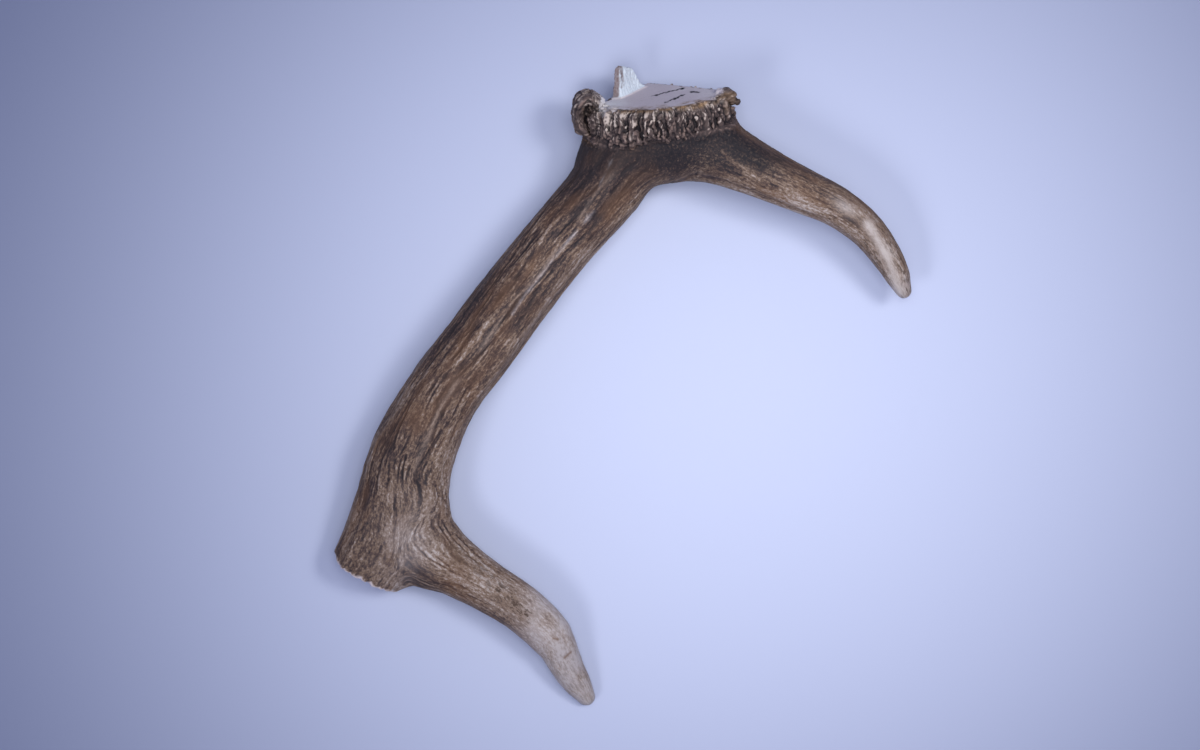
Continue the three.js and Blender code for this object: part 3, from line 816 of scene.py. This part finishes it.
white = 0.7 * np.exp(-((np.hypot(face_across + 23 * MM, face_over - 5 * MM) / (8 * MM)) ** 2))
white += 0.25 * np.exp(-((np.hypot(face_across - 19 * MM, face_over - 3 * MM) / (7 * MM)) ** 2))
on_end = (1 - ramp(turned, 199.5, 201)) * ramp(out, rim - 3.3 * MM, rim - 2.6 * MM)
snapped = in_splinter * np.clip(ramp(out, rim - 1.1 * MM, rim - 0.6 * MM) + on_end, 0, 1)

for name, values in {
    "lift": lift,
    "groove": strength * cut * (0.45 + 0.55 * below_burr),
    # The hollow masks darken hollows as dirt and painted shade.
    "hollow": 0.5 + 2.2 * hollow,
    "deep": 0.5 + 0.55 * deep,
    "bleach": bleach,
    "ivory_streak": ivory_streak,
    "fringe": fringe,
    "bead": bead,
    "ridge": on_ridge,
    "soot": soot,
    "speckled": speckled,
    "scratches": scratches,
    "burr": in_burr * (1 - raw),
    "crest": crest * (0.35 + 0.65 * near_saw),
    "raw": raw,
    "cracks": cracks,
    "ochre": ochre,
    "white": white,
    "snapped": snapped,
    "splinter": in_splinter,
    "flank": flank,
    "pale_line": pale_line,
}.items():
    field = bone.data.attributes.new(name, "FLOAT", "POINT")
    field.data.foreach_set("value", np.clip(values, 0, 1).astype(np.float32))


class Paint:
    """A number, colour or vector that varies over the bone. Arithmetic on numbers adds its nodes."""

    tree = None  # of the material that is being mixed

    def __init__(self, socket):
        self.socket = socket

    @classmethod
    def node(cls, kind, settings=None, sockets=None, output=0):
        node = cls.tree.nodes.new(kind)
        for name, setting in (settings or {}).items():
            if name == "stops":
                cls.set_stops(node.color_ramp, setting)
            else:
                setattr(node, name, setting)
        for name, value in (sockets or {}).items():
            if isinstance(value, Paint):
                cls.tree.links.new(value.socket, node.inputs[name])
            else:
                node.inputs[name].default_value = value
        return cls(node.outputs[output])

    @staticmethod
    def set_stops(colour_ramp, stops):
        while len(colour_ramp.elements) < len(stops):
            colour_ramp.elements.new(1)
        for element, (position, colour) in zip(colour_ramp.elements, stops):
            element.position = position
            element.color = colour

    def math(self, operation, other, swapped=False):
        terms = [other, self] if swapped else [self, other]
        return self.node("ShaderNodeMath", {"operation": operation}, dict(enumerate(terms)))

    def __add__(self, other):
        return self.math("ADD", other)

    def __sub__(self, other):
        return self.math("SUBTRACT", other)

    def __mul__(self, other):
        return self.math("MULTIPLY", other)

    def __radd__(self, other):
        return self.math("ADD", other, swapped=True)

    def __rsub__(self, other):
        return self.math("SUBTRACT", other, swapped=True)

    def __rmul__(self, other):
        return self.math("MULTIPLY", other, swapped=True)

    def clamp(self):
        return self.node("ShaderNodeClamp", None, {"Value": self})

    def step(self, low, high):
        """0 below low, 1 above high, and an eased slope between them."""
        settings = {"interpolation_type": "SMOOTHSTEP"}
        return self.node("ShaderNodeMapRange", settings, {"Value": self, "From Min": low, "From Max": high})


def mask(name):
    return Paint.node("ShaderNodeAttribute", {"attribute_name": name}, output=2)


def blend(amount, base, other):
    """Lays one colour over another by an amount."""
    return Paint.node("ShaderNodeMix", {"data_type": "RGBA"}, {0: amount, 6: base, 7: other}, output=2)


def mottle(place, scale, detail=3.0, roughness=0.6):
    sockets = {"Vector": place, "Scale": scale, "Detail": detail, "Roughness": roughness}
    return Paint.node("ShaderNodeTexNoise", None, sockets)


def stretched(place, length):
    """Draws a pattern out lengthwise, along the bone."""
    return Paint.node("ShaderNodeMapping", None, {"Vector": place, "Scale": (1, 1, 1 / length)})


groove_black = (0.014, 0.010, 0.012, 1)
deep_brown = (0.033, 0.021, 0.021, 1)
mid_brown = (0.072, 0.044, 0.037, 1)
tan = (0.150, 0.097, 0.066, 1)
pale_tan = (0.245, 0.180, 0.145, 1)
ivory = (0.440, 0.385, 0.360, 1)
worn_grey = (0.400, 0.365, 0.375, 1)
warm_brown = (0.135, 0.066, 0.032, 1)
umber = (0.060, 0.036, 0.024, 1)
soot_and_shade_blue = (0.010, 0.0085, 0.012, 1)
flank_brown = (0.125, 0.080, 0.053, 1)
rib_shade = (0.055, 0.038, 0.036, 1)
rib_brown = (0.190, 0.130, 0.110, 1)
rib_ivory = (0.480, 0.400, 0.350, 1)
raw_grey = (0.560, 0.490, 0.505, 1)
raw_white = (0.740, 0.720, 0.705, 1)
raw_shade = (0.300, 0.235, 0.235, 1)
ochre_brown = (0.360, 0.225, 0.120, 1)
snapped_pink = (0.170, 0.118, 0.115, 1)
splinter_white = (0.590, 0.670, 0.735, 1)

bone_paint = bpy.data.materials.new("antler bone")
bone_paint.use_nodes = True
Paint.tree = bone_paint.node_tree
place = Paint.node("ShaderNodeTexCoord", output=3)
along_bone = Paint.node("ShaderNodeAttribute", {"attribute_name": "grain"}, output=1)
streaks = mottle(stretched(along_bone, 9), 270, 2, 0.6)
thin_lines = mottle(stretched(along_bone, 5), 680, 2, 0.65)
specks = mottle(stretched(along_bone, 2), 1300, 2, 0.75)
regions = mottle(place, 60, 3, 0.6)
dust = mottle(place, 900, 3, 0.75)

# The stain: one tone from groove to tip, darkened in hollows by dirt and painted shade, then the tints that
# lie on it.
hollow_dirt_and_shade_mask = mask("hollow")
grooved = mask("groove")
bleached = mask("bleach")
soot_and_shade_mask = mask("soot")
quiet = (1 - 0.6 * bleached - 0.85 * soot_and_shade_mask).clamp()
tone = mask("lift") + quiet * (0.75 * (streaks - 0.5) + 0.7 * (thin_lines - 0.5)) + 0.5 * (regions - 0.5)
tone = tone + 0.95 * (specks - 0.5) - 0.12 * grooved - 0.5 * (hollow_dirt_and_shade_mask - 0.5)
tone = tone - 0.13 * quiet * thin_lines.step(0.56, 0.64) + 0.9 * soot_and_shade_mask * (dust - 0.5)
stained = Paint.node(
    "ShaderNodeValToRGB",
    {
        "stops": [
            (0.10, groove_black),
            (0.27, deep_brown),
            (0.40, mid_brown),
            (0.53, tan),
            (0.68, pale_tan),
            (0.88, ivory),
        ]
    },
    {"Fac": tone.clamp()},
)
warmth = mottle(stretched(along_bone, 3), 90, 2).step(0.46, 0.70)
colour = blend((warmth * (1 - bleached) * (1 - soot_and_shade_mask)).clamp() * 0.45, stained, warm_brown)
colour = blend((mask("flank") * (1.3 * streaks - 0.35)).clamp() * 0.7, colour, flank_brown)
colour = blend((mask("ridge") * (1.5 * specks + 0.9 * thin_lines - 0.65)).clamp(), colour, pale_tan)
colour = blend((mask("pale_line") * (1.2 * specks + 0.8 * thin_lines - 0.4)).clamp(), colour, worn_grey)
colour = blend((bleached * (regions.step(0.35, 0.65) * 0.6 + 0.15)).clamp(), colour, worn_grey)
colour = blend((mask("ivory_streak") * (1.6 * regions + 0.8 * specks - 0.4)).clamp(), colour, ivory)
dotted = mask("speckled") * (1 - mask("ivory_streak"))
blots = mottle(stretched(along_bone, 2.2), 560, 3, 0.75)
colour = blend((dotted * (0.1 + 0.8 * regions)).clamp() * 0.7, colour, tan)
colour = blend((dotted * 1.2 * blots.step(0.47, 0.60)).clamp(), colour, umber)
colour = blend((mask("scratches") * 0.75).clamp(), colour, warm_brown)
# Soot-dark dirt on the neck, and painted shade at the brow tine's root and in the web.
colour = blend((soot_and_shade_mask * (0.72 + 1.1 * (regions - 0.5) - 1.5 * (dust - 0.5))).clamp(), colour, soot_and_shade_blue)

# The burr is brown, with painted shade in its gaps that goes near black in the deepest, and ivory flecks
# where it is raised and worn.
flecks = mottle(stretched(along_bone, 7), 700, 2).step(0.46, 0.60)
# The burr is painted in shade (rib_shade) where it is not raised, in its gaps.
raised = (1.3 - 2.2 * hollow_dirt_and_shade_mask + 0.6 * (dust - 0.5)).clamp()
crest_tone = 1.9 * mask("crest") * flecks * (0.3 + 1.4 * raised)
crest_tone = crest_tone + mask("fringe") * (0.25 + flecks) * (0.6 + 0.9 * raised)
crest_tone = crest_tone.clamp()
burr_tone = blend(raised * (0.2 + 0.8 * flecks), rib_shade, rib_brown)
# Painted shade: the deepest gaps of the burr go near black.
burr_tone = blend((3 * (mask("deep") - 0.52) + 0.8 * (regions - 0.5)).clamp(), burr_tone, groove_black)
burr_tone = blend(crest_tone, burr_tone, rib_ivory)
burr_tone = blend(mask("bead"), burr_tone, groove_black)
colour = blend(mask("burr"), colour, burr_tone)

# Raw bone is grey-white and porous.
fibres = mottle(stretched(along_bone, 2.5), 420, 3, 0.75)
pores = mottle(place, 1100, 2, 0.7)
whitened = (mask("white") + 0.7 * (fibres - 0.5) + 1.2 * (regions - 0.5)).clamp()
raw_tone = blend(whitened, raw_grey, raw_white)
raw_tone = blend(mask("splinter") * 0.85, raw_tone, splinter_white)
raw_tone = blend(fibres.step(0.56, 0.74) * 0.28, raw_tone, raw_shade)
raw_tone = blend(pores.step(0.60, 0.70) * 0.4, raw_tone, raw_shade)
raw_tone = blend((mask("snapped") * (0.6 + 0.6 * specks)).clamp(), raw_tone, snapped_pink)
raw_tone = blend((2.2 * mask("cracks") * fibres.step(0.34, 0.50)).clamp(), raw_tone, groove_black)
colour = blend(mask("raw"), colour, raw_tone)
colour = blend((mask("ochre") * (0.1 + 1.2 * pores)).clamp(), colour, ochre_brown)
colour = blend((mask("ochre") * blots.step(0.50, 0.58) * 0.9).clamp(), colour, umber)

roughness = (0.70 - 0.16 * bleached + 0.10 * grooved + 0.25 * (specks - 0.5)).clamp()
bump_height = 0.8 * thin_lines + 0.8 * specks + 0.5 * dust
normal = Paint.node("ShaderNodeBump", None, {"Strength": 0.6, "Distance": 0.0004, "Height": bump_height})
shader = Paint.tree.nodes["Principled BSDF"]
shader.inputs["Specular IOR Level"].default_value = 0.3
for name, value in (("Base Color", colour), ("Roughness", roughness), ("Normal", normal)):
    Paint.tree.links.new(value.socket, shader.inputs[name])
bone.data.materials.clear()
bone.data.materials.append(bone_paint)


# ---- Beam, brow tine and second tine ---------------------------------------------------------------------
# The finished bone is parted at its two forks, across each tine, into the same three parts as the frame has.
# The cuts are closed with flat faces, and each part takes the place of the frame's own.

brow_fork = ((55.154, 97.244, 29.293), (0.8998, -0.4345, 0.0395))
tine_fork = ((-72.460, -79.523, 16.025), (0.8442, -0.5357, 0.0153))
fork_reach = 25 * MM  # the cut goes no further from the fork's middle
tine_reach = 110 * MM
most_triangles = 222000

# The skin is thinned, but not on the flat sawn base and round the scratches, where the stains' edges need
# its points.
thinned = bone.vertex_groups.new(name="thinned")
thinned.add(np.flatnonzero(~(on_base | (scratches > 0.1))).tolist(), 1, "REPLACE")
thin = bone.modifiers.new("thin", "DECIMATE")
thin.vertex_group = thinned.name
thin.ratio = min(1.0, most_triangles / (2 * len(bone.data.polygons)))
apply_modifiers(bone)
bone.vertex_groups.clear()


def part_at(fork, name):
    """Cuts one tine off the bone."""
    middle = Vector(fork[0]) * MM
    grow_way = Vector(fork[1]).normalized()
    select_only(bone)
    bpy.ops.object.mode_set(mode="EDIT")
    bpy.ops.mesh.select_mode(type="FACE")
    bpy.ops.mesh.select_all(action="DESELECT")
    mesh = bmesh.from_edit_mesh(bone.data)
    for face in mesh.faces:
        face.select = (face.calc_center_median() - middle).length < fork_reach
    bmesh.update_edit_mesh(bone.data)
    bpy.ops.mesh.bisect(plane_co=middle, plane_no=grow_way)
    mesh = bmesh.from_edit_mesh(bone.data)
    for face in mesh.faces:
        from_middle = face.calc_center_median() - middle
        face.select = from_middle.dot(grow_way) > 0 and from_middle.length < tine_reach
    mesh.select_flush_mode()
    bmesh.update_edit_mesh(bone.data)
    bpy.ops.mesh.separate(type="SELECTED")
    bpy.ops.object.mode_set(mode="OBJECT")
    tine = next(piece for piece in bpy.context.selected_objects if piece != bone)
    tine.name = name
    return tine


def close_cuts(piece):
    """Caps each open rim with a flat face, and keeps the rim crisp so that the skin's shading runs on."""
    select_only(piece)
    bpy.ops.object.mode_set(mode="EDIT")
    bpy.ops.mesh.select_mode(type="EDGE")
    bpy.ops.mesh.select_all(action="DESELECT")
    bpy.ops.mesh.select_non_manifold(
        extend=False, use_wire=False, use_multi_face=False, use_non_contiguous=False
    )
    bpy.ops.mesh.mark_sharp()
    bpy.ops.mesh.edge_face_add()
    bpy.ops.mesh.quads_convert_to_tris()
    bpy.ops.object.mode_set(mode="OBJECT")


brow_tine = part_at(brow_fork, "brow_tine_bone")
second_tine = part_at(tine_fork, "second_tine_bone")
bone.name = "beam_bone"
for piece, node, slot in (
    (bone, "beam", "beam_bone"),
    (brow_tine, "brow_tine", "brow_bone"),
    (second_tine, "second_tine", "tine_bone"),
):
    close_cuts(piece)
    piece.data.polygons.foreach_set("use_smooth", np.ones(len(piece.data.polygons), bool))
    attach(piece, "root")
    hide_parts(node)
